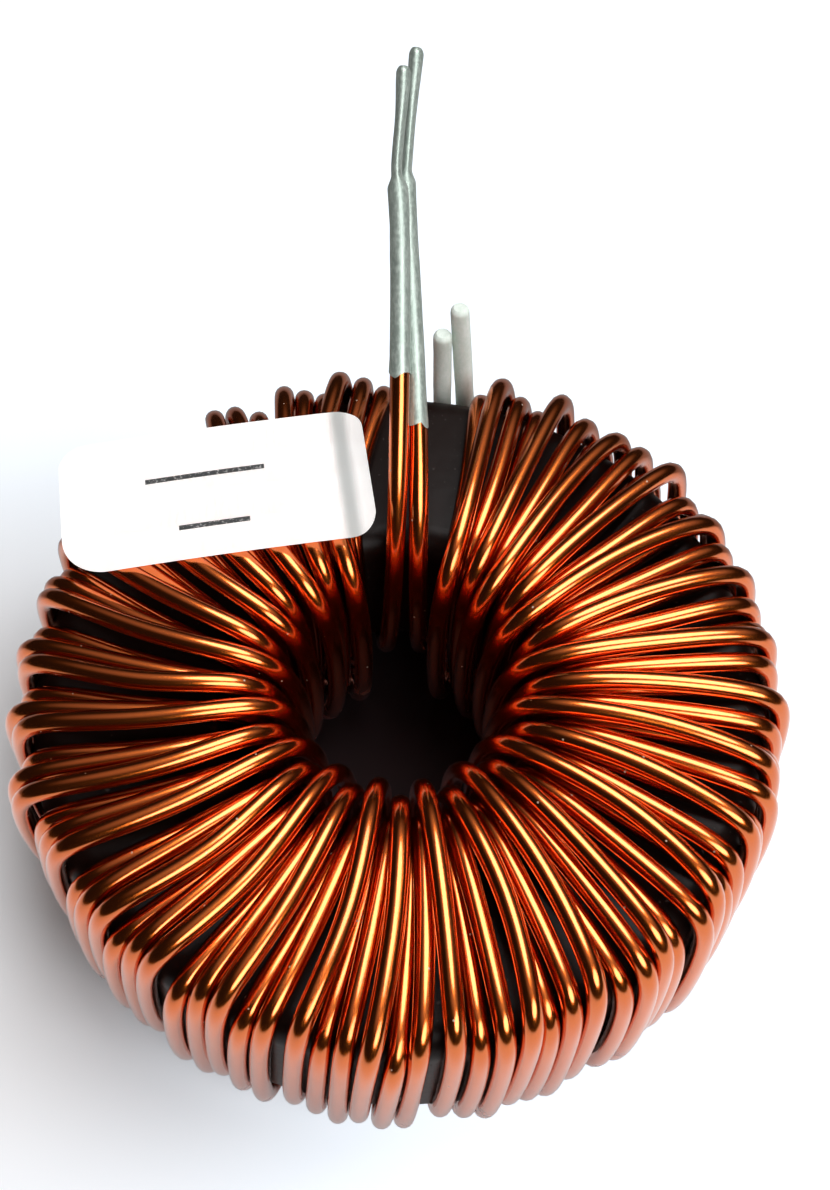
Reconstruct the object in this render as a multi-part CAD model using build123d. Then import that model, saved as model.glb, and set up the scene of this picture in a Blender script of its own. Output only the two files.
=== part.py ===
"""Toroidal power inductor lying flat: a coated powder ring wound with two parallel enamelled wires.

Millimetres, +Z up. The origin is on the ring's axis, on the surface that the winding rests on.
The photograph looks along +Y, so the start lead and the finish lead are at the back, near +Y.
"""
from build123d import *
import os
from math import asin, atan, cos, degrees, pi, radians, sin, sqrt, tan
from random import Random

# Powder core with its black coating
core_outer_d = 58.0
core_inner_d = 26.0
core_height = 16.0
core_edge = 1.5

# Enamelled round wire, wound as several strands side by side
wire_d = 1.6
strands = 2
wire_sides = 6
seat_gap = 0.05
neighbour_gap = 0.07
lane_gap = 0.21
lead_azimuth_deg = 88.5
outside_gap = 4.4
shoulder_share = 0.7

# How loosely single turns were wound
crown_lift = 0.25
loosest_loop = 1.2
largest_sway = 1.1
bunch_end_chance = 0.2
longest_bunch = 6
bore_step = 1.3
bore_spread = 0.5
seed = 11

# Start lead: the strands rise in the bore, lean back over the ring and slip behind one another
start_inwards = 2.8
start_foot_pitch = 2.6
start_neck_pitch = 1.73
start_neck_aside = 0.34
start_neck = 1.4
start_rise_deg = 38.0
start_enamelled = 15.8
start_upper_deg = 35.0
start_tinned = 14.3
start_tip = 9.3
start_x = 0.05
strand_step = 4.5
knee_side, knee_behind = 0.9, 0.6
pinch_side, pinch_behind = 0.2, 1.15
tip_side, tip_step = 0.4, 1.9

# Finish lead: the strands stand up behind the ring, each one shorter than the one before
finish_height = 4.1
finish_step = 2.2
finish_lean = 0.7
finish_aside = 0.42
finish_tuck_deg = 45.0

# Paper label on the crowns of the turns at the back left
label_length = 25.0
label_width = 12.8
label_thickness = 0.15
label_corner_r = 2.2
label_curl_r = 250.0
label_azimuth_deg = 134.0
label_outwards = 1.1
label_turn_deg = 8.0
label_gap = 0.06

# Lanes: the places of the wires side by side round the outside of the ring
pitch = wire_d + neighbour_gap
outside_pitch = pitch + neighbour_gap
seat = wire_d / 2 + seat_gap
wire_bend = core_edge + (2 - sqrt(2)) * seat
side_r = core_outer_d / 2 + seat
wall_r = core_inner_d / 2 - seat
face_z = core_height / 2 + seat
start_r = wall_r - start_inwards
lead_sector = ((strands - 1) * start_foot_pitch + 2 * pitch) / start_r


def angle_between_lanes(turn_count):
    """Angle from one lane to the next where they fill the bore up to the start lead's sector."""
    return (2 * pi - lead_sector) / (strands * turn_count - strands - 1)


def bore_radii(turn_count):
    """Radii of the wire layers in the bore: each nests in the one before, until all lanes fit, if they do."""
    angle = angle_between_lanes(turn_count)
    radii = [wall_r]
    while 2 * radii[-1] * sin(len(radii) * angle / 2) < wire_d:
        outer = radii[-1]
        if outer < bore_step + bore_spread + 2 * pitch:
            return []
        radii.append(outer * cos(angle) - sqrt(pitch**2 - (outer * sin(angle)) ** 2))
    return radii


turns = int(((2 * pi - lead_sector) * side_r / (wire_d + lane_gap) + strands + 1) / strands)
while not bore_radii(turns):
    turns -= 1
bore_r = bore_radii(turns)
layers = len(bore_r)
lanes = strands * turns
lane_angle = angle_between_lanes(turns)
lanes_around = 2 * pi / lane_angle
first_azimuth = radians(lead_azimuth_deg) + lead_sector / 2 - strands * lane_angle
middle_lane = (lanes + strands - 1) / 2
spread = (lanes_around - outside_gap / (side_r * lane_angle)) / (lanes - 1)
inner_stack = pitch
outer_stack = shoulder_share * pitch
corner_share = sqrt(2) - 1
highest = face_z + (layers - 1) * inner_stack
mid_z = highest + wire_d / 2


def outside_lags():
    """Lags of the lanes outside: wires lie tight in bunches, and the slack shows between bunches."""
    chance = Random(seed)
    slack = spread - outside_pitch / (side_r * lane_angle)
    lags = []
    bunched = 0
    for _ in range(lanes):
        lags.append(bunched * slack)
        bunch_ends = chance.random() < bunch_end_chance or bunched + 1 == longest_bunch
        bunched = 0 if bunch_ends else bunched + 1
    return lags


def looseness():
    """For each lane, how far its loop stands off outside and how far its turn sways on top."""
    chance = Random(seed + 1)
    bulges = [loosest_loop * chance.random() ** 3 for _ in range(lanes)]
    return [(bulge, largest_sway * chance.random()) for bulge in bulges]


def layer_at(lane):
    """Layer of a lane: the layers take turns, and the first turn lies on the bore's wall."""
    return (lane - strands) % layers


def bore_steps():
    """How far each lane steps into the bore: on the innermost layer, every other one stands well in."""
    chance = Random(seed + 2)
    steps = []
    for lane in range(lanes + strands):
        far = bore_step * (lane // layers % 2)
        steps.append(far + bore_spread * chance.random() if layer_at(lane) == layers - 1 else 0.0)
    return steps


lags = outside_lags()
loose = looseness()
steps = bore_steps()


def outside(lane):
    """Place of a lane outside, where the winding spreads almost all the way round."""
    return middle_lane + (lane - middle_lane) * spread


def at(radius, height, lane):
    """Point on a lane, with the height counted from the middle of the core."""
    azimuth = first_azimuth + lane * lane_angle
    return Vector(radius * cos(azimuth), radius * sin(azimuth), mid_z + height)


def over_core(layer, step):
    """Radius and height of a turn at the bore's rim, at its crown and at the outer shoulder."""
    stack = layer * inner_stack
    lift = layer * outer_stack
    rim = (wall_r + wire_bend - corner_share * stack - step / 2, face_z + stack)
    shoulder = (side_r - wire_bend, face_z + lift)
    crown = ((rim[0] + shoulder[0]) / 2, (rim[1] + shoulder[1]) / 2 + crown_lift)
    return rim, crown, shoulder


def lower_half(lane):
    """A turn from the bore, under the core and up to the foot of the outer side."""
    layer = layer_at(lane)
    rim, crown, shoulder = over_core(layer, steps[lane])
    bulge = loose[lane][0] / 2
    out = outside(lane + 0.5) - lags[lane]
    return [
        at(bore_r[layer] - steps[lane], corner_share * layer * inner_stack - rim[1] + wire_bend, lane),
        at(rim[0], -rim[1], lane),
        at(shoulder[0], -shoulder[1], out),
        at(side_r + bulge, wire_bend - shoulder[1], out),
    ]


def upper_half(lane):
    """The same turn up the outer side, over the core and into the bore, one step of strands further on."""
    inner = lane + strands
    layer = layer_at(inner)
    rim, crown, shoulder = over_core(layer, steps[inner])
    bulge, sway = loose[lane]
    sway = sway if layer == layers - 1 else 0.0
    out = outside(lane + strands / 2) - lags[lane]
    return [
        at(side_r + bulge, shoulder[1] - wire_bend, out),
        at(shoulder[0] + bulge, shoulder[1], out + sway / 4),
        at(crown[0], crown[1], (out + inner) / 2 + sway),
        at(rim[0], rim[1], inner),
        at(bore_r[layer] - steps[inner], rim[1] - wire_bend - corner_share * layer * inner_stack, inner),
    ]


def start_lane(strand, spacing, aside):
    """The start strands stand side by side in the bore, in the gap that the winding leaves."""
    middle = (lanes - 1 - lanes_around + strands) / 2
    across = (strand - (strands - 1) / 2) * spacing - aside
    return middle + across / (start_r * lane_angle)


def start_lead(strand):
    """From the tip down into the bore; the last strand is in front and the others slip behind it."""
    low_lane = start_lane(strand, start_foot_pitch, 0.0)
    high_lane = start_lane(strand, start_neck_pitch, start_neck_aside)
    foot = at(start_r, start_inwards + wire_bend - face_z, low_lane)
    neck = at(start_r, face_z + start_neck, high_lane)
    lower = Vector(0, cos(radians(start_rise_deg)), sin(radians(start_rise_deg)))
    upper = Vector(0, cos(radians(start_upper_deg)), sin(radians(start_upper_deg)))
    side = Vector(1, 0, 0)
    behind = side.cross(upper) * -1
    slip = (strands - 1 - strand) * (pitch + neighbour_gap)
    shoulder = Vector(start_x, neck.Y, neck.Z) + lower * start_enamelled
    knee = shoulder - lower * (strand_step * (strands - 1 - strand)) + side * (knee_side * slip)
    pinch = shoulder + upper * start_tinned + side * (pinch_side * slip)
    tip = pinch + upper * (start_tip + tip_step * (strands - 1 - strand)) + side * (tip_side * slip)
    knee = knee + behind * (knee_behind * slip)
    pinch = pinch + behind * (pinch_behind * slip)
    tip = tip + behind * (pinch_behind * slip)
    return [tip, pinch, knee, neck, foot, at(wall_r + wire_bend, -face_z, low_lane)]


def finish_lead(strand):
    """Up the outer side behind the ring and on to a bare upright end."""
    tuck = pitch * (strands - 1 - strand)
    aside = (tuck * cos(radians(finish_tuck_deg)) - finish_aside) / (side_r * lane_angle)
    radius = side_r + finish_lean + tuck * sin(radians(finish_tuck_deg))
    top = highest + finish_height - finish_step * strand
    return lower_half(lanes - strands + strand) + [at(radius, top, outside(lanes - 0.5) - aside)]


def strand_route(strand):
    """Centre line of one strand, from the start lead's tip to the finish lead's tip."""
    route = start_lead(strand) + lower_half(strand)[2:] + upper_half(strand)
    for lane in range(strands + strand, lanes - strands, strands):
        route += lower_half(lane) + upper_half(lane)
    return route + finish_lead(strand)


def wire_rings(route):
    """Polygon sections of the wire, one in the mitre plane of each point of its route."""
    runs = [(b - a).normalized() for a, b in zip(route, route[1:])]
    first = Plane(route[0], z_dir=runs[0])
    corners = [2 * pi * (corner + 0.5) / wire_sides for corner in range(wire_sides)]
    rings = [[first.from_local_coords(Vector(cos(c), sin(c), 0) * (wire_d / 2)) for c in corners]]
    ends = runs[1:] + runs[-1:]
    for point, run, after in zip(route[1:], runs, ends):
        mitre = (run + after).normalized()
        rings.append([q + run * ((point - q).dot(mitre) / run.dot(mitre)) for q in rings[-1]])
    return rings


def make_strand(strand):
    """One strand as a closed shell of flat facets between its sections."""
    rings = wire_rings(strand_route(strand))
    faces = [Face(Wire.make_polygon(rings[0])), Face(Wire.make_polygon(rings[-1]))]
    for a, b in zip(rings, rings[1:]):
        for i in range(wire_sides):
            j = (i + 1) % wire_sides
            faces.append(Face(Wire.make_polygon([a[i], a[j], b[j], b[i]])))
    return Solid(Shell(faces))


def make_core():
    """Ring with chamfered edges, in the middle of the winding's height."""
    ring = Cylinder(core_outer_d / 2, core_height) - Cylinder(core_inner_d / 2, core_height)
    ring = chamfer(ring.edges().filter_by(GeomType.CIRCLE), core_edge)
    return Pos(0, 0, mid_z) * ring


def make_label():
    """Slightly curled sheet on a plane that touches the crowns of the highest turns."""
    outer_r = label_curl_r + label_thickness
    rim, crown, shoulder = over_core(layers - 1, 0.0)
    slope = atan((rim[1] - shoulder[1]) / (shoulder[0] - rim[0]))
    height = mid_z + crown[1] + wire_d / 2 / cos(slope) + label_gap - label_outwards * tan(slope)
    half_angle = asin(label_length / 2 / label_curl_r)
    sag = label_curl_r * (1 - cos(half_angle))
    curl = Cylinder(outer_r, 2 * label_width) - Cylinder(label_curl_r, 2 * label_width)
    sheet = Pos(0, 0, -label_curl_r) * Rot(90, 0, 0) * curl
    outline = extrude(RectangleRounded(label_length, label_width, label_corner_r), 2 * sag + 1, both=True)
    place = Rot(0, 0, label_azimuth_deg) * Pos(crown[0] + label_outwards, 0, height)
    turn = Rot(0, degrees(slope), 0) * Rot(0, 0, label_turn_deg - label_azimuth_deg)
    return place * turn * (sheet & outline)


os.makedirs("parts", exist_ok=True)
export_step(make_core(), "parts/core.step")
for number in range(strands):
    export_step(make_strand(number), f"parts/winding_strand_{number + 1}.step")
export_step(make_label(), "parts/label.step")
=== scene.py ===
"""Looks of a toroidal power inductor: glossy black ring, two enamelled copper wires, paper label."""
from math import asin, atan, cos, pi, radians, sin, sqrt, tan
from random import Random

import bmesh
import bpy
from mathutils import Matrix, Vector


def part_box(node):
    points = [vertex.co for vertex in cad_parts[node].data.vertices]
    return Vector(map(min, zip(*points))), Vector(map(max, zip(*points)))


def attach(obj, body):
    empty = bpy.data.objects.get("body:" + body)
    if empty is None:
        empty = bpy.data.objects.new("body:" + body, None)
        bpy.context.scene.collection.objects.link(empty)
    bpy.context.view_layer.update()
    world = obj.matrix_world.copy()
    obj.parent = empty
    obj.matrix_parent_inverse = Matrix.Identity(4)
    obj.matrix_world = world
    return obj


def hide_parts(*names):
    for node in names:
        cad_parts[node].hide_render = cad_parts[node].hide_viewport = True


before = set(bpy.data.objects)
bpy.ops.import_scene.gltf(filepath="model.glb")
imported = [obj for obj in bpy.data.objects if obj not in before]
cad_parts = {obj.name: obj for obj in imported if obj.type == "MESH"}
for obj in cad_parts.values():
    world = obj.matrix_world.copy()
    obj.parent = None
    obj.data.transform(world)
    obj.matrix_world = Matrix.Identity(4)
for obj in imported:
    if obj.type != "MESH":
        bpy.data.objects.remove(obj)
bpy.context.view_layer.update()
mm = 0.001

# Powder core. A ring of pressed and cured metal powder, coated with black epoxy that is sprayed on hot and
# flows out glossy, so its edges are round. The winding holds it, and it shows only between the turns.
core_low, core_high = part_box("core")
core_outer_r = (core_high[0] - core_low[0]) / 2
core_inner_r = 13.0 * mm
core_half = (core_high[2] - core_low[2]) / 2
core_mid_z = (core_high[2] + core_low[2]) / 2
core_edge_r = 2.4 * mm
core_steps_round = 240
core_steps_edge = 8


def linear(hex_colour):
    """Linear RGBA of an sRGB hex colour."""
    parts = [int(hex_colour[i:i + 2], 16) / 255 for i in (1, 3, 5)]
    return [c / 12.92 if c <= 0.04045 else ((c + 0.055) / 1.055) ** 2.4 for c in parts] + [1.0]


def add_node(tree, kind, inputs=(), **settings):
    """Adds a node. Each input is set to a value, or linked where a socket is given."""
    node = tree.nodes.new(kind)
    for name, value in settings.items():
        setattr(node, name, value)
    for name, value in dict(inputs).items():
        if isinstance(value, bpy.types.NodeSocket):
            tree.links.new(value, node.inputs[name])
        else:
            node.inputs[name].default_value = value
    return node


def new_material(name):
    """An empty node material, and its tree."""
    material = bpy.data.materials.new(name)
    material.use_nodes = True
    material.node_tree.nodes.clear()
    return material, material.node_tree


def finish_material(tree, shader):
    """Links a shader to the material's surface."""
    add_node(tree, "ShaderNodeOutputMaterial", {"Surface": shader})


def math(tree, operation, *values):
    """Result of a maths node on values or sockets."""
    return add_node(tree, "ShaderNodeMath", dict(enumerate(values)), operation=operation).outputs[0]


def ramp(tree, value, start, end, low=0.0, high=1.0):
    """A value carried softly from low at start to high at end."""
    return add_node(tree, "ShaderNodeMapRange", {
        "Value": value, "From Min": start, "From Max": end, "To Min": low, "To Max": high,
    }, interpolation_type="SMOOTHSTEP").outputs["Result"]


def blend(tree, share, first, second):
    """Colour between two colours or sockets."""
    mix = add_node(tree, "ShaderNodeMix", data_type="RGBA")
    for socket, value in zip((mix.inputs[0], mix.inputs[6], mix.inputs[7]), (share, first, second)):
        if isinstance(value, bpy.types.NodeSocket):
            tree.links.new(value, socket)
        else:
            socket.default_value = value
    return mix.outputs[2]


def new_piece(name, mesh, material, slot, *nodes):
    """A finished piece in the scene that rides on the part and stands for some of its solids."""
    piece = bpy.data.objects.new(name, mesh)
    bpy.context.scene.collection.objects.link(piece)
    mesh.materials.clear()
    mesh.materials.append(material)
    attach(piece, "root")
    if nodes:
        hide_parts(*nodes)
    return piece


def core_outline():
    """Radius and height of the ring's rounded section, once round it."""
    corners = [
        (core_outer_r, core_half, 0), (core_inner_r, core_half, 90),
        (core_inner_r, -core_half, 180), (core_outer_r, -core_half, 270),
    ]
    points = []
    for radius, height, start in corners:
        centre_r = radius - core_edge_r if radius > core_inner_r else radius + core_edge_r
        centre_z = height - core_edge_r if height > 0 else height + core_edge_r
        for step in range(core_steps_edge + 1):
            turn = radians(start + 90 * step / core_steps_edge)
            points.append((centre_r + core_edge_r * cos(turn), centre_z + core_edge_r * sin(turn)))
    return points


def core_mesh():
    """The section turned once round the axis."""
    outline = core_outline()
    mesh = bpy.data.meshes.new("core_coated")
    shape = bmesh.new()
    rings = []
    for step in range(core_steps_round):
        turn = 2 * pi * step / core_steps_round
        rings.append([shape.verts.new((r * cos(turn), r * sin(turn), core_mid_z + z)) for r, z in outline])
    for ring, following in zip(rings, rings[1:] + rings[:1]):
        for i, corner in enumerate(ring):
            j = (i + 1) % len(ring)
            shape.faces.new((corner, following[i], following[j], ring[j])).smooth = True
    bmesh.ops.recalc_face_normals(shape, faces=shape.faces)
    shape.to_mesh(mesh)
    shape.free()
    return mesh


def epoxy_coating():
    """Black epoxy coating: a soft gloss with a faint orange peel that breaks up its glints, and a little
    pale dust that has settled on it."""
    material, tree = new_material("black epoxy coating")
    peel_size = 1.6 * mm
    dust_size = 0.5 * mm
    place = add_node(tree, "ShaderNodeTexCoord").outputs["Object"]
    peel = add_node(tree, "ShaderNodeTexNoise", {"Vector": place, "Scale": 1 / peel_size, "Detail": 2.0})
    bump = add_node(tree, "ShaderNodeBump", {
        "Height": peel.outputs["Fac"], "Strength": 0.3, "Distance": 0.1 * mm,
    })
    grains = add_node(tree, "ShaderNodeTexNoise", {"Vector": place, "Scale": 1 / dust_size, "Detail": 4.0})
    dust = ramp(tree, grains.outputs["Fac"], 0.66, 0.74)
    shader = add_node(tree, "ShaderNodeBsdfPrincipled", {
        "Base Color": blend(tree, dust, linear("#170D0B"), linear("#3E3836")),
        "Roughness": math(tree, "MULTIPLY_ADD", dust, 0.4, 0.35), "Specular IOR Level": 0.12,
        "Normal": bump.outputs["Normal"],
    })
    finish_material(tree, shader.outputs["BSDF"])
    return material


new_piece("core_coated", core_mesh(), epoxy_coating(), "core_coating", "core")

# Winding. Two round copper wires with clear polyester enamel, drawn bright and wound side by side by hand
# through the ring. They nest in layers in the bore, stack over the faces and lie in loose bunches outside.
wire_r = 0.8 * mm
seat_gap = 0.05 * mm
neighbour_gap = 0.07 * mm
lane_gap = 0.21 * mm
lead_azimuth = radians(88.5)
outside_gap = 4.4 * mm
shoulder_share = 0.7
core_chamfer = 1.5 * mm
crown_lift = 0.25 * mm
loosest_loop = 1.2 * mm
largest_sway = 1.1
bunch_end_chance = 0.2
longest_bunch = 6
bore_step = 1.3 * mm
bore_spread = 0.5 * mm
shoulder_ease = 0.6
start_inwards = 2.8 * mm
start_foot_pitch = 2.6 * mm
winding_seed = 11
strands = 2

pitch = 2 * wire_r + neighbour_gap
outside_pitch = pitch + neighbour_gap
seat = wire_r + seat_gap
wire_bend = core_chamfer + (2 - sqrt(2)) * seat
side_r = core_outer_r + seat
wall_r = core_inner_r - seat
face_z = core_half + seat
start_r = wall_r - start_inwards
lead_sector = ((strands - 1) * start_foot_pitch + 2 * pitch) / start_r


def angle_between_lanes(turn_count):
    """Angle from one lane to the next where they fill the bore up to the start lead's sector."""
    return (2 * pi - lead_sector) / (strands * turn_count - strands - 1)


def bore_radii(turn_count):
    """Radii of the wire layers in the bore: each nests in the one before, until all lanes fit."""
    angle = angle_between_lanes(turn_count)
    radii = [wall_r]
    while 2 * radii[-1] * sin(len(radii) * angle / 2) < 2 * wire_r:
        outer = radii[-1]
        radii.append(outer * cos(angle) - sqrt(pitch**2 - (outer * sin(angle)) ** 2))
    return radii


turns = int(((2 * pi - lead_sector) * side_r / (2 * wire_r + lane_gap) + strands + 1) / strands)
bore_r = bore_radii(turns)
layers = len(bore_r)
lanes = strands * turns
lane_angle = angle_between_lanes(turns)
lanes_around = 2 * pi / lane_angle
first_azimuth = lead_azimuth + lead_sector / 2 - strands * lane_angle
middle_lane = (lanes + strands - 1) / 2
spread = (lanes_around - outside_gap / (side_r * lane_angle)) / (lanes - 1)
inner_stack = pitch
outer_stack = shoulder_share * pitch
corner_share = sqrt(2) - 1
highest = face_z + (layers - 1) * inner_stack


def outside_lags():
    """Lags of the lanes outside: wires lie tight in bunches, and the slack shows between bunches."""
    chance = Random(winding_seed)
    slack = spread - outside_pitch / (side_r * lane_angle)
    lags = []
    bunched = 0
    for _ in range(lanes):
        lags.append(bunched * slack)
        bunch_ends = chance.random() < bunch_end_chance or bunched + 1 == longest_bunch
        bunched = 0 if bunch_ends else bunched + 1
    return lags


def looseness():
    """For each lane, how far its loop stands off outside and how far its turn sways on top."""
    chance = Random(winding_seed + 1)
    bulges = [loosest_loop * chance.random() ** 3 for _ in range(lanes)]
    return [(bulge, largest_sway * chance.random()) for bulge in bulges]


def layer_at(lane):
    """Layer of a lane: the layers take turns, and the first turn lies on the bore's wall."""
    return (lane - strands) % layers


def bore_steps():
    """How far each lane steps into the bore: on the innermost layer, every other one stands well in."""
    chance = Random(winding_seed + 2)
    steps = []
    for lane in range(lanes + strands):
        far = bore_step * (lane // layers % 2)
        steps.append(far + bore_spread * chance.random() if layer_at(lane) == layers - 1 else 0.0)
    return steps


lags = outside_lags()
loose = looseness()
steps = bore_steps()


def outside(lane):
    """Place of a lane outside, where the winding spreads almost all the way round."""
    return middle_lane + (lane - middle_lane) * spread


def at(radius, height, lane):
    """Point on a lane, with the height counted from the middle of the core."""
    azimuth = first_azimuth + lane * lane_angle
    return Vector((radius * cos(azimuth), radius * sin(azimuth), core_mid_z + height))


def over_core(layer, step):
    """Radius and height of a turn at the bore's rim, at its crown and at the outer shoulder."""
    stack = layer * inner_stack
    lift = layer * outer_stack
    rim = (wall_r + wire_bend - corner_share * stack - step / 2, face_z + stack)
    shoulder = (side_r - wire_bend, face_z + lift)
    crown = ((rim[0] + shoulder[0]) / 2, (rim[1] + shoulder[1]) / 2 + crown_lift)
    return rim, crown, shoulder


def lower_half(lane):
    """A turn from the bore, under the core and up to the foot of the outer side."""
    layer = layer_at(lane)
    rim, crown, shoulder = over_core(layer, steps[lane])
    bulge = loose[lane][0] / 2
    out = outside(lane + 0.5) - lags[lane]
    return [
        at(bore_r[layer] - steps[lane], corner_share * layer * inner_stack - rim[1] + wire_bend, lane),
        at(rim[0], -rim[1], lane),
        at(shoulder[0], -shoulder[1], out),
        at(side_r + bulge, wire_bend - shoulder[1], out),
    ]


def upper_half(lane):
    """The same turn up the outer side, over the core and into the bore, one step of strands further on."""
    inner = lane + strands
    layer = layer_at(inner)
    rim, crown, shoulder = over_core(layer, steps[inner])
    bulge, sway = loose[lane]
    sway = sway if layer == layers - 1 else 0.0
    out = outside(lane + strands / 2) - lags[lane]
    eased = out + lags[lane] * shoulder_ease
    return [
        at(side_r + bulge, shoulder[1] - wire_bend, out),
        at(shoulder[0] + bulge, shoulder[1], eased + sway / 4),
        at(crown[0], crown[1], (eased + inner) / 2 + sway),
        at(rim[0], rim[1], inner),
        at(bore_r[layer] - steps[inner], rim[1] - wire_bend - corner_share * layer * inner_stack, inner),
    ]


# Leads. The start of both wires rises in the bore and leans back over the ring, one wire slipping in behind
# the other. The ends of both wires stand up behind the ring. All four are stripped, dipped in tin and nipped.
start_neck_pitch = 1.73 * mm
start_neck_aside = 0.34 * mm
start_neck = 1.4 * mm
start_rise = radians(38)
start_enamelled = 15.8 * mm
start_upper = radians(35)
start_tinned = 14.3 * mm
start_tip = 9.3 * mm
start_x = 0.05 * mm
strand_step = 4.5 * mm
knee_side, knee_behind = 0.9, 0.6
pinch_side, pinch_behind = 0.2, 1.15
tip_side, tip_step = 0.4, 1.9 * mm
finish_height = 4.1 * mm
finish_step = 2.2 * mm
finish_lean = 0.7 * mm
finish_aside = 0.42 * mm
finish_tuck = radians(45)


def start_lane(strand, spacing, aside):
    """The start strands stand side by side in the bore, in the gap that the winding leaves."""
    middle = (lanes - 1 - lanes_around + strands) / 2
    across = (strand - (strands - 1) / 2) * spacing - aside
    return middle + across / (start_r * lane_angle)


def start_lead(strand):
    """From the tip down into the bore; the last strand is in front and the others slip behind it."""
    low_lane = start_lane(strand, start_foot_pitch, 0.0)
    high_lane = start_lane(strand, start_neck_pitch, start_neck_aside)
    foot = at(start_r, start_inwards + wire_bend - face_z, low_lane)
    neck = at(start_r, face_z + start_neck, high_lane)
    lower = Vector((0, cos(start_rise), sin(start_rise)))
    upper = Vector((0, cos(start_upper), sin(start_upper)))
    side = Vector((1, 0, 0))
    behind = upper.cross(side)
    later = strands - 1 - strand
    slip = later * (pitch + neighbour_gap)
    bend = Vector((start_x, neck.y, neck.z)) + lower * start_enamelled
    knee = bend - lower * (strand_step * later) + side * (knee_side * slip) + behind * (knee_behind * slip)
    pinch = bend + upper * start_tinned + side * (pinch_side * slip) + behind * (pinch_behind * slip)
    tip = pinch + upper * (start_tip + tip_step * later) + side * (tip_side * slip)
    bent = pinch + (tip - pinch) * 0.12 - side * (0.55 * mm * strand)
    spread_tip = tip + side * (0.25 * mm)
    spread_neck = pinch + (tip - pinch) * 0.6 + side * (0.1 * mm)
    return [spread_tip, spread_neck, bent, pinch, knee, neck, foot, at(wall_r + wire_bend, -face_z, low_lane)]


def finish_lead(strand):
    """Up the outer side behind the ring and on to a bare upright end."""
    tuck = pitch * (strands - 1 - strand)
    aside = (tuck * cos(finish_tuck) - finish_aside) / (side_r * lane_angle)
    radius = side_r + finish_lean + tuck * sin(finish_tuck)
    top = highest + finish_height - finish_step * strand
    return lower_half(lanes - strands + strand) + [at(radius, top, outside(lanes - 0.5) - aside)]


def strand_route(strand):
    """Centre line of one strand, from the start lead's tip to the finish lead's tip."""
    route = start_lead(strand) + lower_half(strand)[2:] + upper_half(strand)
    for lane in range(strands + strand, lanes - strands, strands):
        route += lower_half(lane) + upper_half(lane)
    return route + finish_lead(strand)


def route_curve(name, points):
    """A smooth curve that rounds the corners of a route."""
    curve = bpy.data.curves.new(name, "CURVE")
    curve.dimensions = "3D"
    spline = curve.splines.new("NURBS")
    spline.points.add(len(points) - 1)
    for point, place in zip(spline.points, points):
        point.co = (*place, 1.0)
    spline.order_u = 4
    spline.use_endpoint_u = True
    spline.resolution_u = 12
    return curve


def add_socket(tree, name, kind, direction="INPUT"):
    """Adds a named socket to a node group and gives its identifier."""
    return tree.interface.new_socket(name=name, in_out=direction, socket_type=kind).identifier


edge_length = 1.6 * mm


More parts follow.
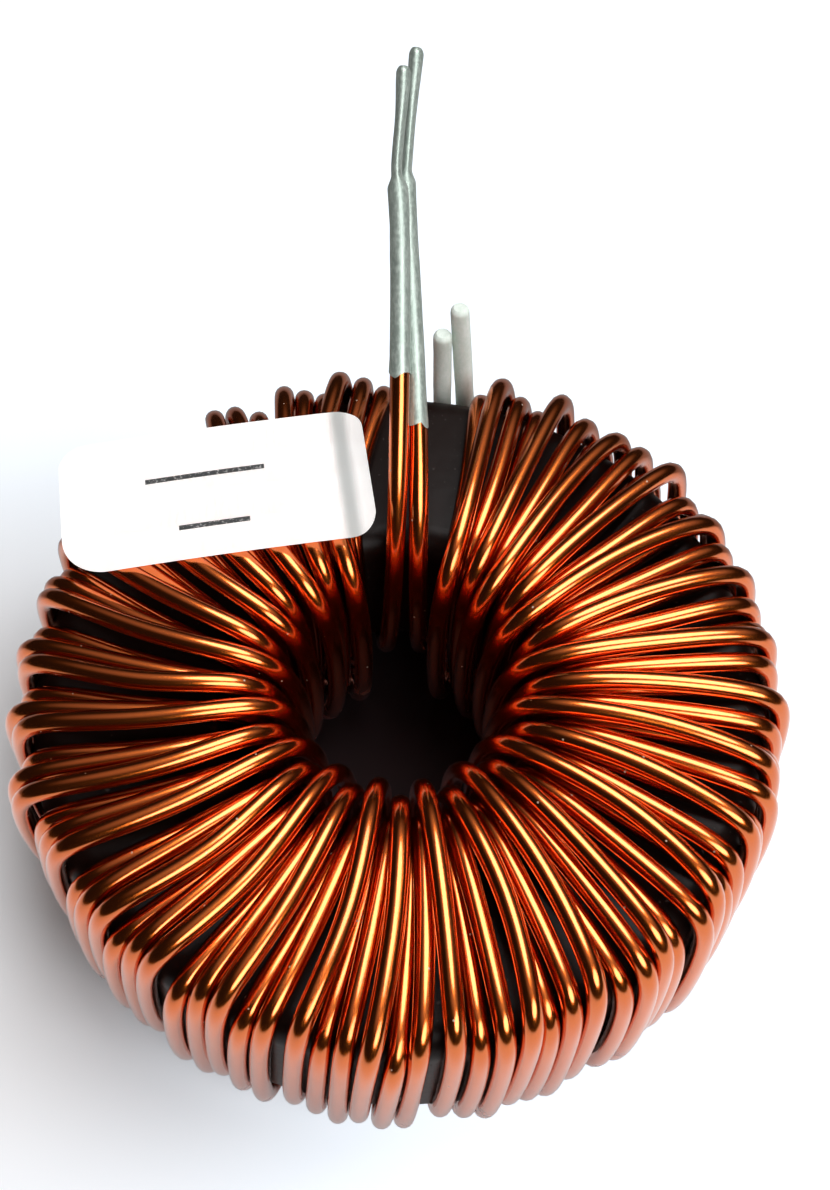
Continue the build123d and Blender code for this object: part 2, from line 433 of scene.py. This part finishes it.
def wire_tree():
    """Node group that draws a stretch of wire along a route. It keeps the length along it and the place
    round it for the material. It rounds off, flattens and thickens the wire near a tip, and makes the
    edge of the tin ragged, with a bead of solder."""
    tree = bpy.data.node_groups.new("drawn wire", "GeometryNodeTree")
    add_socket(tree, "Route", "NodeSocketGeometry")
    names = ("Start", "End", "Step", "Wire radius", "Tip", "Nipped length", "Flatness", "Lumps",
             "Edge", "Edge wave", "Edge bead")
    ids = {name: add_socket(tree, name, "NodeSocketFloat") for name in names}
    ids["Sides"] = add_socket(tree, "Sides", "NodeSocketInt")
    ids["Material"] = add_socket(tree, "Material", "NodeSocketMaterial")
    add_socket(tree, "Wire", "NodeSocketGeometry", "OUTPUT")
    given = add_node(tree, "NodeGroupInput").outputs

    drawn = add_node(tree, "GeometryNodeResampleCurve", {"Curve": given["Route"]}, mode="EVALUATED")
    parameter = add_node(tree, "GeometryNodeSplineParameter")
    keep = add_node(tree, "GeometryNodeCaptureAttribute", {"Geometry": drawn.outputs["Curve"]})
    keep.capture_items.new("FLOAT", "Along")
    tree.links.new(parameter.outputs["Length"], keep.inputs["Along"])
    trim = add_node(tree, "GeometryNodeTrimCurve", {"Curve": keep.outputs["Geometry"]}, mode="LENGTH")
    tree.links.new(given["Start"], trim.inputs[4])
    tree.links.new(given["End"], trim.inputs[5])
    even = add_node(tree, "GeometryNodeResampleCurve", {
        "Curve": trim.outputs["Curve"], "Length": given["Step"],
    }, mode="LENGTH")

    offset = math(tree, "SUBTRACT", keep.outputs["Along"], given["Tip"])
    from_tip = math(tree, "ABSOLUTE", offset)
    round_length = math(tree, "MULTIPLY", given["Wire radius"], 0.7)
    cut_away = math(tree, "MAXIMUM", math(tree, "SUBTRACT", 1.0, math(tree, "DIVIDE", from_tip, round_length)), 0.0)
    rounding = math(tree, "SQRT", math(tree, "SUBTRACT", 1.0, math(tree, "MULTIPLY", 0.6, math(tree, "POWER", cut_away, 2.0))))
    lump = add_node(tree, "ShaderNodeTexNoise", {"Scale": 400.0, "Detail": 1.0})
    from_edge = math(tree, "ABSOLUTE", math(tree, "SUBTRACT", keep.outputs["Along"], given["Edge"]))
    near_edge = ramp(tree, from_edge, 0.0, edge_length, 1.0, 0.0)
    lumpy = math(tree, "MULTIPLY", math(tree, "SUBTRACT", lump.outputs["Fac"], 0.4), given["Lumps"])
    lumps = math(tree, "MULTIPLY_ADD", lumpy, math(tree, "SUBTRACT", 1.0, near_edge), 1.0)
    swell = math(tree, "MULTIPLY_ADD", near_edge, given["Edge bead"], lumps)
    middle = add_node(tree, "GeometryNodeCaptureAttribute", {"Geometry": even.outputs["Curve"]})
    middle.capture_items.new("VECTOR", "Middle")
    middle.capture_items.new("VECTOR", "Tangent")
    tree.links.new(add_node(tree, "GeometryNodeInputPosition").outputs[0], middle.inputs["Middle"])
    tree.links.new(add_node(tree, "GeometryNodeInputTangent").outputs[0], middle.inputs["Tangent"])

    section = add_node(tree, "GeometryNodeCurvePrimitiveCircle", {
        "Resolution": given["Sides"], "Radius": given["Wire radius"],
    })
    mark = add_node(tree, "GeometryNodeCaptureAttribute", {"Geometry": section.outputs["Curve"]})
    mark.capture_items.new("FLOAT", "Around")
    tree.links.new(parameter.outputs["Factor"], mark.inputs["Around"])
    tube = add_node(tree, "GeometryNodeCurveToMesh", {
        "Curve": middle.outputs["Geometry"], "Profile Curve": mark.outputs["Geometry"],
        "Scale": math(tree, "MULTIPLY", rounding, swell), "Fill Caps": True,
    })

    nipped_length = given["Nipped length"]
    neck = ramp(tree, from_tip, math(tree, "MULTIPLY", nipped_length, 0.88), nipped_length, 1.0, 0.0)
    fan = ramp(tree, from_tip, 0.0, math(tree, "MULTIPLY", nipped_length, 0.55), 0.6, 1.0)
    flat = math(tree, "MULTIPLY", math(tree, "MULTIPLY", neck, fan), given["Flatness"])
    here = add_node(tree, "GeometryNodeInputPosition").outputs[0]
    inward = add_node(tree, "ShaderNodeVectorMath", {0: middle.outputs["Middle"], 1: here}, operation="SUBTRACT")
    across = add_node(tree, "ShaderNodeVectorMath", {
        0: inward.outputs[0], 1: add_node(tree, "ShaderNodeCombineXYZ", {"X": flat}).outputs[0],
    }, operation="MULTIPLY")
    turn = math(tree, "MULTIPLY", mark.outputs["Around"], 2 * pi)
    round_wire = add_node(tree, "ShaderNodeCombineXYZ", {
        "X": math(tree, "COSINE", turn), "Y": math(tree, "SINE", turn),
        "Z": math(tree, "MULTIPLY", given["Edge"], 1 / edge_length),
    }).outputs[0]
    wave = add_node(tree, "ShaderNodeTexNoise", {"Vector": round_wire, "Scale": 0.8, "Detail": 1.0})
    ragged = math(tree, "MULTIPLY", math(tree, "SUBTRACT", wave.outputs["Fac"], 0.5), given["Edge wave"])
    drawn_out = add_node(tree, "ShaderNodeVectorMath", {
        0: middle.outputs["Tangent"], "Scale": math(tree, "MULTIPLY", ragged, near_edge),
    }, operation="SCALE")
    moved = add_node(tree, "ShaderNodeVectorMath", {0: across.outputs[0], 1: drawn_out.outputs[0]}, operation="ADD")
    pressed = add_node(tree, "GeometryNodeSetPosition", {
        "Geometry": tube.outputs["Mesh"], "Offset": moved.outputs[0],
    })
    along = add_node(tree, "GeometryNodeStoreNamedAttribute", {
        "Geometry": pressed.outputs["Geometry"], "Name": "along", "Value": keep.outputs["Along"],
    }, data_type="FLOAT")
    around = add_node(tree, "GeometryNodeStoreNamedAttribute", {
        "Geometry": along.outputs["Geometry"], "Name": "around", "Value": mark.outputs["Around"],
    }, data_type="FLOAT")
    smooth = add_node(tree, "GeometryNodeSetShadeSmooth", {"Geometry": around.outputs["Geometry"]})
    real = add_node(tree, "GeometryNodeRealizeInstances", {"Geometry": smooth.outputs["Geometry"]})
    painted = add_node(tree, "GeometryNodeSetMaterial", {
        "Geometry": real.outputs["Geometry"], "Material": given["Material"],
    })
    add_node(tree, "NodeGroupOutput", {"Wire": painted.outputs["Geometry"]})
    return tree, ids


def drawn_mesh(name, curve, tree, values):
    """The plain mesh that a node group makes of a curve. Values are keyed by socket identifier."""
    source = bpy.data.objects.new(name, curve)
    bpy.context.scene.collection.objects.link(source)
    modifier = source.modifiers.new("draw", "NODES")
    modifier.node_group = tree
    for identifier, value in values.items():
        modifier[identifier] = value
    seen = source.evaluated_get(bpy.context.evaluated_depsgraph_get())
    mesh = bpy.data.meshes.new_from_object(seen)
    mesh.name = name
    bpy.data.objects.remove(source)
    return mesh


def curve_length(curve):
    """Length of a curve as it is drawn."""
    source = bpy.data.objects.new("measured", curve)
    bpy.context.scene.collection.objects.link(source)
    mesh = bpy.data.meshes.new_from_object(source.evaluated_get(bpy.context.evaluated_depsgraph_get()))
    places = [v.co for v in mesh.vertices]
    bpy.data.objects.remove(source)
    return sum((b - a).length for a, b in zip(places, places[1:]))


def wire_place(tree, stretch):
    """Place on the wire's skin, drawn out along the wire, so that marks in it are longer than wide."""
    along = add_node(tree, "ShaderNodeAttribute", attribute_name="along").outputs["Fac"]
    around = add_node(tree, "ShaderNodeAttribute", attribute_name="around").outputs["Fac"]
    turn = math(tree, "MULTIPLY", around, 2 * pi)
    return add_node(tree, "ShaderNodeCombineXYZ", {
        "X": math(tree, "MULTIPLY", math(tree, "COSINE", turn), wire_r),
        "Y": math(tree, "MULTIPLY", math(tree, "SINE", turn), wire_r),
        "Z": math(tree, "DIVIDE", along, stretch),
    }).outputs[0]


def enamelled_copper():
    """Bright drawn copper under clear amber enamel: a mirror-like metal with a hard clear coat. Drawing
    left faint lines along it, handling left dull scuffs low on the outside and dust has settled on it.
    Towards the bottom it is painted paler and pinker: a painted reflection of the white board."""
    material, tree = new_material("enamelled copper wire")
    tint_size = 9 * mm
    line_width = 0.35 * mm
    scuff_size = 1.5 * mm
    dust_size = 1.3 * mm
    place = add_node(tree, "ShaderNodeTexCoord").outputs["Object"]
    cloud = add_node(tree, "ShaderNodeTexNoise", {"Vector": place, "Scale": 1 / tint_size, "Detail": 3.0})
    copper = blend(tree, cloud.outputs["Fac"], linear("#D96422"), linear("#E5782C"))

    lines = add_node(tree, "ShaderNodeTexNoise", {
        "Vector": wire_place(tree, 9.0), "Scale": 1 / line_width, "Detail": 2.0,
    })
    bump = add_node(tree, "ShaderNodeBump", {"Height": lines.outputs["Fac"], "Strength": 1.0, "Distance": 0.008 * mm})

    height = add_node(tree, "ShaderNodeSeparateXYZ", {"Vector": place}).outputs["Z"]
    flakes = add_node(tree, "ShaderNodeTexNoise", {"Vector": place, "Scale": 1 / scuff_size, "Detail": 3.0})
    low = ramp(tree, height, 4 * mm, 9 * mm, 1.0, 0.0)
    scuffed = math(tree, "MULTIPLY", ramp(tree, flakes.outputs["Fac"], 0.57, 0.6), low)
    # Painted reflection: towards the bottom the copper is painted paler and pinker, where it mirrors the white board.
    painted_low_reflection = ramp(tree, height, 1 * mm, 15 * mm, 0.5, 0.0)
    copper_with_painted_reflection = blend(tree, painted_low_reflection, copper, linear("#D08C82"))
    worn = blend(tree, scuffed, copper_with_painted_reflection, linear("#8A5F60"))

    specks = add_node(tree, "ShaderNodeTexVoronoi", {"Vector": place, "Scale": 1 / dust_size})
    fluff = ramp(tree, specks.outputs["Distance"], 0.05, 0.07, 1.0, 0.0)
    sparse = math(tree, "GREATER_THAN", specks.outputs["Color"], 0.62)
    dusty = math(tree, "MULTIPLY", fluff, sparse)

    bare = math(tree, "MAXIMUM", scuffed, dusty)
    shader = add_node(tree, "ShaderNodeBsdfPrincipled", {
        "Base Color": blend(tree, dusty, worn, linear("#B9A79A")),
        "Metallic": math(tree, "SUBTRACT", 1.0, bare),
        "Roughness": math(tree, "MULTIPLY_ADD", bare, 0.3, 0.2),
        "Coat Weight": 1.0, "Coat Roughness": 0.05, "Coat IOR": 1.5, "Normal": bump.outputs["Normal"],
    })
    finish_material(tree, shader.outputs["BSDF"])
    return material


def tinned_copper(name, dark, light, metallic, roughness):
    """Copper end dipped in solder: grey tin that drained in soft runs along the wire. It is bright on
    the start ends; the finish ends use a paler, matt, frosted copy of it, whose paleness is painted light."""
    material, tree = new_material(name)
    run_width = 0.5 * mm
    frost_size = 0.22 * mm
    runs = add_node(tree, "ShaderNodeTexNoise", {
        "Vector": wire_place(tree, 5.0), "Scale": 1 / run_width, "Detail": 3.0,
    })
    frost = add_node(tree, "ShaderNodeTexNoise", {
        "Vector": wire_place(tree, 1.5), "Scale": 1 / frost_size, "Detail": 4.0,
    })
    grainy = ramp(tree, frost.outputs["Fac"], 0.42, 0.62)
    bump = add_node(tree, "ShaderNodeBump", {
        "Height": runs.outputs["Fac"], "Strength": 1.0, "Distance": 0.02 * mm,
    })
    pale = math(tree, "MULTIPLY_ADD", grainy, 0.2, math(tree, "MULTIPLY", runs.outputs["Fac"], 0.9))
    shader = add_node(tree, "ShaderNodeBsdfPrincipled", {
        "Base Color": blend(tree, pale, linear(dark), linear(light)), "Metallic": metallic,
        "Roughness": math(tree, "MULTIPLY_ADD", grainy, 0.15, roughness), "Normal": bump.outputs["Normal"],
    })
    finish_material(tree, shader.outputs["BSDF"])
    return material


start_tin_length = (29.0 * mm, 23.2 * mm)
finish_tin_length = 14.0 * mm
nipped_length = (10.6 * mm, 9.4 * mm)
tin_overlap = 0.6 * mm
edge_wave = 2.2 * mm
edge_bead = 0.1
turn_step, tip_step_length = 0.75 * mm, 0.14 * mm
enamel = enamelled_copper()
bright_tin = tinned_copper("bright tin", "#8EA298", "#DDE9E1", 0.7, 0.4)
# Painted light: the finish ends are a paler, matt copy of the tin, painted as if brightly lit.
pale_painted_lit_tin = tinned_copper("pale painted lit tin", "#D2E4D7", "#F7FEF9", 0.0, 0.45)
wire_group, wire_ids = wire_tree()


def wire_piece(name, strand, start, end, material, slot, step, **settings):
    """One stretch of a strand as a piece of its own."""
    node = f"winding_strand_{strand + 1}"
    values = {
        "Start": start, "End": end, "Step": step, "Wire radius": wire_r, "Tip": -1.0, "Nipped length": mm,
        "Flatness": 0.0, "Lumps": 0.0, "Edge": -1.0, "Edge wave": 0.0, "Edge bead": 0.0, "Sides": 16,
        "Material": material, **settings,
    }
    curve = route_curve(name, strand_route(strand))
    mesh = drawn_mesh(name, curve, wire_group, {wire_ids[key]: value for key, value in values.items()})
    new_piece(name, mesh, material, slot, node)


for strand in range(strands):
    number = strand + 1
    whole = curve_length(route_curve("measured", strand_route(strand)))
    tin_start = start_tin_length[strand]
    tin_end = whole - finish_tin_length
    wire_piece(f"wire_{number}", strand, tin_start, tin_end, enamel, "enamelled_copper", turn_step)
    over_start, over_end = tin_start + tin_overlap, tin_end - tin_overlap
    tin = {"Lumps": 0.12, "Edge wave": edge_wave, "Edge bead": edge_bead}
    wire_piece(f"start_end_{number}", strand, 0.0, over_start, bright_tin, "tinned_copper", tip_step_length,
               **tin, **{"Tip": 0.0, "Edge": over_start, "Nipped length": nipped_length[strand], "Flatness": 0.47})
    wire_piece(f"finish_end_{number}", strand, over_end, whole, pale_painted_lit_tin, "tinned_copper", tip_step_length,
               **tin, Tip=whole, Edge=over_end)

# Label. A die-cut tag of white coated paper with rounded corners, stuck by its own glue to the crests of the
# turns at the back left. It stays stiff between them. Two plain ruled bars stand where it can be written on.
label_length = 25.0 * mm
label_width = 12.8 * mm
label_thickness = 0.15 * mm
label_corner_r = 2.2 * mm
label_rubbed_r = 3.6 * mm
label_curl_r = 250.0 * mm
label_azimuth = radians(134)
label_outwards = 1.1 * mm
label_turn = radians(8)
label_gap = 0.06 * mm
label_steps = 64
curled_end = 1.5 * mm
curled_r = 2.3 * mm


def label_place():
    """Matrix that lays the label on the crowns of the highest turns."""
    rim, crown, shoulder = over_core(layers - 1, 0.0)
    slope = atan((rim[1] - shoulder[1]) / (shoulder[0] - rim[0]))
    height = core_mid_z + crown[1] + wire_r / cos(slope) + label_gap - label_outwards * tan(slope)
    place = Matrix.Rotation(label_azimuth, 4, "Z") @ Matrix.Translation((crown[0] + label_outwards, 0, height))
    return place @ Matrix.Rotation(slope, 4, "Y") @ Matrix.Rotation(label_turn - label_azimuth, 4, "Z")


def half_width_at(x, corner_r):
    """Half the label's width at a place along it, less near its rounded corners."""
    into_corner = abs(x) - (label_length / 2 - corner_r)
    if into_corner <= 0:
        return label_width / 2
    return label_width / 2 - corner_r + sqrt(max(corner_r**2 - into_corner**2, 0.0))


def label_mesh():
    """The curled sheet, from one end to the other in narrow strips, with its right end bent up."""
    mesh = bpy.data.meshes.new("paper_label")
    shape = bmesh.new()
    paper = shape.loops.layers.uv.new("paper")
    rows = []
    for step in range(label_steps + 1):
        x = label_length / 2 * sin(pi / 2 * (2 * step / label_steps - 1))
        high = half_width_at(x, label_corner_r)
        low = half_width_at(x, label_rubbed_r if x < 0 else label_corner_r)
        past = max(x - (label_length / 2 - curled_end), 0.0)
        z = label_curl_r * (cos(asin(x / label_curl_r)) - 1) + past**2 / (2 * curled_r)
        across = [low * (share - 1) + high * share for share in (0.0, 0.25, 0.5, 0.75, 1.0)]
        rows.append([shape.verts.new((x, y, z + label_thickness)) for y in across])
    for row, following in zip(rows, rows[1:]):
        for i in range(len(row) - 1):
            shape.faces.new((row[i], following[i], following[i + 1], row[i + 1])).smooth = True
    bmesh.ops.solidify(shape, geom=shape.faces[:], thickness=label_thickness)
    bmesh.ops.recalc_face_normals(shape, faces=shape.faces)
    for edge in shape.edges:
        edge.smooth = edge.calc_face_angle(pi) < pi / 4
    for face in shape.faces:
        for loop in face.loops:
            loop[paper].uv = (loop.vert.co.x, loop.vert.co.y)
    shape.to_mesh(mesh)
    shape.free()
    mesh.transform(label_place())
    return mesh


def label_paper():
    """Coated white paper: matt with a faint sheen and a fine fibre grain, ruled with two thin grey bars
    of toner that are a little worn. A grey band at the fold of the bent end is painted shade. The paper
    glows a little, as painted light, less on the toner and at the fold."""
    material, tree = new_material("white label paper")
    fibre_size = 0.25 * mm
    bars = ((-0.7 * mm, 1.7 * mm, 9.6 * mm), (-0.3 * mm, -3.3 * mm, 5.6 * mm))
    bar_height = 0.38 * mm
    crease_inwards = 1.9 * mm
    paper = add_node(tree, "ShaderNodeUVMap", uv_map="paper").outputs["UV"]
    across = add_node(tree, "ShaderNodeSeparateXYZ", {"Vector": paper}).outputs
    fibre = add_node(tree, "ShaderNodeTexNoise", {"Vector": paper, "Scale": 1 / fibre_size, "Detail": 4.0})
    bump = add_node(tree, "ShaderNodeBump", {
        "Height": fibre.outputs["Fac"], "Strength": 0.15, "Distance": 0.02 * mm,
    })
    ink = 0.0
    for x, y, length in bars:
        beside = math(tree, "ABSOLUTE", math(tree, "SUBTRACT", across["X"], x))
        above = math(tree, "ABSOLUTE", math(tree, "SUBTRACT", across["Y"], y))
        bar = math(tree, "MULTIPLY", ramp(tree, beside, length / 2, length / 2 + 0.1 * mm, 1.0, 0.0),
                   ramp(tree, above, bar_height / 2, bar_height / 2 + 0.1 * mm, 1.0, 0.0))
        ink = math(tree, "MAXIMUM", ink, bar)
    toner = math(tree, "MULTIPLY", ink, ramp(tree, fibre.outputs["Fac"], 0.3, 0.5, 0.6, 1.0))
    # Painted shade: a grey band across the paper at the fold of its bent end.
    from_crease = math(tree, "ABSOLUTE", math(tree, "SUBTRACT", across["X"], label_length / 2 - crease_inwards))
    painted_crease_shade = ramp(tree, from_crease, 0.1 * mm, 1.1 * mm, 1.0, 0.0)
    paper_white = blend(tree, painted_crease_shade, linear("#FAFBFA"), linear("#D0D6D5"))
    shader = add_node(tree, "ShaderNodeBsdfPrincipled", {
        "Base Color": blend(tree, toner, paper_white, linear("#5A5E5F")),
        "Roughness": 0.5, "Normal": bump.outputs["Normal"],
        # Painted light: the paper glows a little so that it renders white; less on the toner and at the fold.
        "Emission Color": blend(tree, math(tree, "MAXIMUM", toner, math(tree, "MULTIPLY", painted_crease_shade, 0.6)), linear("#FFFFFF"), linear("#000000")),
        "Emission Strength": 0.3,
    })
    finish_material(tree, shader.outputs["BSDF"])
    return material


new_piece("paper_label", label_mesh(), label_paper(), "label_paper", "label")

# Floor. A seamless sheet of white board under and behind the part, larger than any view of it. Hardly any
# light comes down the hole, so the board's colour is painted dark there: painted shade.
floor_size = 4.0
shaded_r = 19 * mm
shadow_middle = (-44 * mm, -6 * mm, 0.0)


def white_board():
    """Matt white board; seen directly it is brighter, as the photograph is exposed for the wires, but
    for the part's shadow at its left. Its colour is painted dark in the hole, as painted shade, and in
    reflections it is painted darker towards the back, also painted shade."""
    material, tree = new_material("white board")
    rays = add_node(tree, "ShaderNodeLightPath").outputs
    place = add_node(tree, "ShaderNodeTexCoord").outputs["Object"]
    distance = add_node(tree, "ShaderNodeVectorMath", {0: place}, operation="LENGTH").outputs["Value"]
    # Painted shade: inside the hole the board's colour is dark and it does not glow.
    outside_painted_hole_shade = ramp(tree, distance, shaded_r, shaded_r + 3 * mm)
    backwards = add_node(tree, "ShaderNodeSeparateXYZ", {"Vector": place}).outputs["Y"]
    # Painted shade: in reflections the board is painted darker towards the back.
    behind = math(tree, "MULTIPLY", ramp(tree, backwards, 5 * mm, 40 * mm), rays["Is Glossy Ray"])
    board = blend(tree, behind, linear("#F0F2F5"), linear("#8A8888"))
    matt = add_node(tree, "ShaderNodeBsdfDiffuse", {"Color": blend(tree, outside_painted_hole_shade, linear("#3A3032"), board)})
    bright = add_node(tree, "ShaderNodeEmission", {
        "Color": linear("#EAF3FC"), "Strength": math(tree, "MULTIPLY", outside_painted_hole_shade, 1.4),
    })
    aside = add_node(tree, "ShaderNodeVectorMath", {0: place, 1: shadow_middle}, operation="DISTANCE")
    lit = ramp(tree, aside.outputs["Value"], 16 * mm, 60 * mm, 0.0, 0.8)
    far = ramp(tree, distance, 0.12, 0.45)
    share = math(tree, "MULTIPLY", rays["Is Camera Ray"], math(tree, "MAXIMUM", lit, far))
    mix = add_node(tree, "ShaderNodeMixShader", {0: share, 1: matt.outputs[0], 2: bright.outputs[0]})
    finish_material(tree, mix.outputs[0])
    return material


floor_mesh = bpy.data.meshes.new("floor")
floor_corners = [(x * floor_size / 2, y * floor_size / 2, 0.0) for x, y in ((-1, -1), (1, -1), (1, 1), (-1, 1))]
floor_mesh.from_pydata(floor_corners, [], [(0, 1, 2, 3)])
floor_mesh.materials.append(white_board())
floor = bpy.data.objects.new("floor", floor_mesh)
bpy.context.scene.collection.objects.link(floor)

# Light. One large softbox overhead, a little to the back right, in a dim room: the wires show it as one long
# bright streak, the dim room as a dark band, and the board as a paler one near their feet, which the copper's
# colour partly paints in as a painted reflection.
softbox_size = (0.32, 0.32)
softbox_place = Vector((0.10, 0.11, 0.44))
softbox_power = 1.45
front_size = (0.40, 0.30)
front_place = Vector((0.20, -0.31, 0.38))
front_power = 1.6
glow = 0.42
gloom = 0.018


def add_softbox(name, size, place, power):
    """A softbox that faces the part."""
    light = bpy.data.lights.new(name, "AREA")
    light.shape = "ELLIPSE"
    light.size, light.size_y = size
    light.energy = power
    lamp = bpy.data.objects.new(name, light)
    lamp.location = place
    lamp.rotation_euler = (-place).to_track_quat("-Z", "Y").to_euler()
    bpy.context.scene.collection.objects.link(lamp)


add_softbox("softbox", softbox_size, softbox_place, softbox_power)
add_softbox("front_softbox", front_size, front_place, front_power)

world = bpy.data.worlds.new("dim room")
world.use_nodes = True
sky = world.node_tree
sky.nodes.clear()
towards = add_node(sky, "ShaderNodeVectorMath", {
    0: add_node(sky, "ShaderNodeTexCoord").outputs["Generated"], 1: softbox_place.normalized(),
}, operation="DOT_PRODUCT").outputs["Value"]
room = add_node(sky, "ShaderNodeBackground", {
    "Color": linear("#FFF0E6"), "Strength": ramp(sky, towards, cos(radians(50)), cos(radians(10)), gloom, glow),
})
backdrop = add_node(sky, "ShaderNodeBackground", {"Color": linear("#F6FAFD")})
seen = add_node(sky, "ShaderNodeLightPath").outputs["Is Camera Ray"]
mix = add_node(sky, "ShaderNodeMixShader", {0: seen, 1: room.outputs[0], 2: backdrop.outputs[0]})
add_node(sky, "ShaderNodeOutputWorld", {"Surface": mix.outputs[0]})
bpy.context.scene.world = world
bpy.context.scene.view_settings.view_transform = "Standard"

# Camera. It stands close in front of the part and looks steeply down, aimed a little above the ring.
camera_distance = 150 * mm
camera_elevation = radians(64.3)
camera_target_z = 12 * mm
camera_aim_up = radians(4.51)
camera_aim_right = radians(0.48)
camera_lens = 54.6

camera = bpy.data.cameras.new("camera")
camera.lens = camera_lens
camera.sensor_width = 36.0
camera.clip_start = 0.01
camera_object = bpy.data.objects.new("camera", camera)
stand = Matrix.Translation((0.0, -camera_distance * cos(camera_elevation), camera_target_z + camera_distance * sin(camera_elevation)))
tilt = Matrix.Rotation(pi / 2 - camera_elevation + camera_aim_up, 4, "X")
camera_object.matrix_world = stand @ tilt @ Matrix.Rotation(-camera_aim_right, 4, "Y")
bpy.context.scene.collection.objects.link(camera_object)
bpy.context.scene.camera = camera_object
